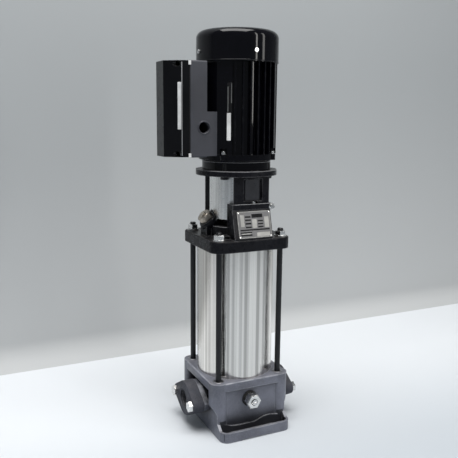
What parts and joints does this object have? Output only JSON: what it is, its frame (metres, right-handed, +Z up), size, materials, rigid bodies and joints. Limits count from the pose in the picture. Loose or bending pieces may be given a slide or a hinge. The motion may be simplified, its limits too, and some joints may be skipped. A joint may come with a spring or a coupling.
{
  "type": "vertical multistage pump",
  "caption": "Upright inline pump: cast base with opposed ports, steel sleeve clamped by tie rods, stacked impellers on one shaft, and an electric motor on a stool.",
  "frame": {"origin": "on the shaft axis at the underside of the foot, at the centre of the foot bolt pattern", "axes": "+Z up along the shaft, +X out of the outlet port, -X out of the inlet port, -Y the front with the drain plug and nameplate"},
  "size_m": [0.2472, 0.196, 0.694],
  "materials": {
    "base_iron": "satin dark slate paint over cast iron",
    "flange_iron": "satin dark paint over cast iron",
    "head_black": "semi-gloss black paint over cast iron",
    "sleeve_steel": "polished stainless steel with fine vertical brushing",
    "guard_steel": "satin stainless sheet",
    "bolt_black": "black coated rod",
    "bright_steel": "bright zinc plated steel",
    "chamber_steel": "pressed stainless steel",
    "shaft_steel": "ground steel",
    "motor_black": "gloss black enamel",
    "box_gray": "textured dark grey",
    "lid_black": "gloss black",
    "rubber": "matt black",
    "copper": "enamelled winding",
    "core_steel": "laminated steel",
    "plastic_white": "moulded",
    "plate_metal": "satin plate",
    "carbon": "seal face",
    "bronze": "plain bearing",
    "black_plastic": "moulded"
  },
  "bodies": {
    "pump_frame": {"pump_base": "base_iron", "inlet_flange": "flange_iron", "outlet_flange": "flange_iron", "port_gaskets": "rubber", "port_flange_bolts": "bright_steel", "drain_plug": "bright_steel", "body_seals": "rubber", "outer_sleeve": "sleeve_steel", "staybolts": "bolt_black", "staybolt_washers": "bright_steel", "staybolt_nuts": "bright_steel", "inlet_part": "chamber_steel", "stage_chambers": "chamber_steel", "neck_rings": "plastic_white", "chamber_straps": "chamber_steel", "top_chamber": "chamber_steel", "top_bush": "bronze", "seal_cover": "chamber_steel", "seal_seat": "carbon", "pump_head": "head_black", "filling_plug": "bright_steel", "coupling_guards": "guard_steel", "stool_screws": "bright_steel", "pump_nameplate": "plate_metal", "nameplate_rivets": "bright_steel", "motor_end_shield": "motor_black", "motor_flange_bolts": "bright_steel", "shield_screws": "bright_steel", "stator_housing": "motor_black", "stator_core": "core_steel", "stator_windings": "copper", "bearing_outer_rings": "shaft_steel", "fan_end_shield": "motor_black", "fan_cover": "motor_black", "fan_cover_screws": "bright_steel", "terminal_box": "box_gray", "lid_gasket": "rubber", "terminal_box_lid": "lid_black", "lid_screws": "bright_steel", "blanking_plug": "black_plastic", "terminal_block": "plastic_white", "capacitor": "plate_metal"},
    "rotor": {"pump_shaft": "shaft_steel", "shaft_nut": "bright_steel", "shaft_pin": "bright_steel", "impellers": "chamber_steel", "seal_rotor": "carbon", "seal_bellows": "rubber", "coupling_halves": "core_steel", "coupling_screws": "bright_steel", "rotor_core": "core_steel", "motor_shaft": "shaft_steel", "bearing_inner_rings": "shaft_steel", "cooling_fan": "black_plastic"},
    "bearing_cage_set": {"bearing_balls": "shaft_steel", "bearing_cages": "plate_metal"},
    "vent_seal_ring": {"vent_seal": "rubber"},
    "vent_screw_body": {"vent_screw": "shaft_steel"},
    "bypass_seal_ring": {"bypass_seal": "rubber"},
    "bypass_spindle_body": {"bypass_spindle": "shaft_steel"}
  },
  "joints": [
    {"name": "rotor_spin", "type": "hinge", "parent": "pump_frame", "child": "rotor", "pos_m": [0, 0, 0.4], "axis": [0, 0, 1], "continuous": true},
    {"name": "bearing_ball_orbit", "type": "hinge", "parent": "pump_frame", "child": "bearing_cage_set", "pos_m": [0, 0, 0.56], "axis": [0, 0, 1], "continuous": true},
    {"name": "vent_lift", "type": "slide", "parent": "pump_frame", "child": "vent_seal_ring", "axis": [-0.7071, 0, 0.7071], "range_m": [0, 0.0025]},
    {"name": "vent_turn", "type": "hinge", "parent": "vent_seal_ring", "child": "vent_screw_body", "pos_m": [-0.044, 0, 0.365], "axis": [-0.7071, 0, 0.7071], "range_deg": [0, 720]},
    {"name": "bypass_lift", "type": "slide", "parent": "pump_frame", "child": "bypass_seal_ring", "axis": [0, -1, 0], "range_m": [0, 0.002]},
    {"name": "bypass_turn", "type": "hinge", "parent": "bypass_seal_ring", "child": "bypass_spindle_body", "pos_m": [-0.004, -0.08, 0.063], "axis": [0, -1, 0], "range_deg": [0, 720]}
  ],
  "couplings": [
    {"joint": "bearing_ball_orbit", "follows": "rotor_spin", "ratio": 0.3815},
    {"joint": "vent_turn", "follows": "vent_lift", "rad_per_m": 5026.5},
    {"joint": "bypass_turn", "follows": "bypass_lift", "rad_per_m": 6283.1}
  ]
}
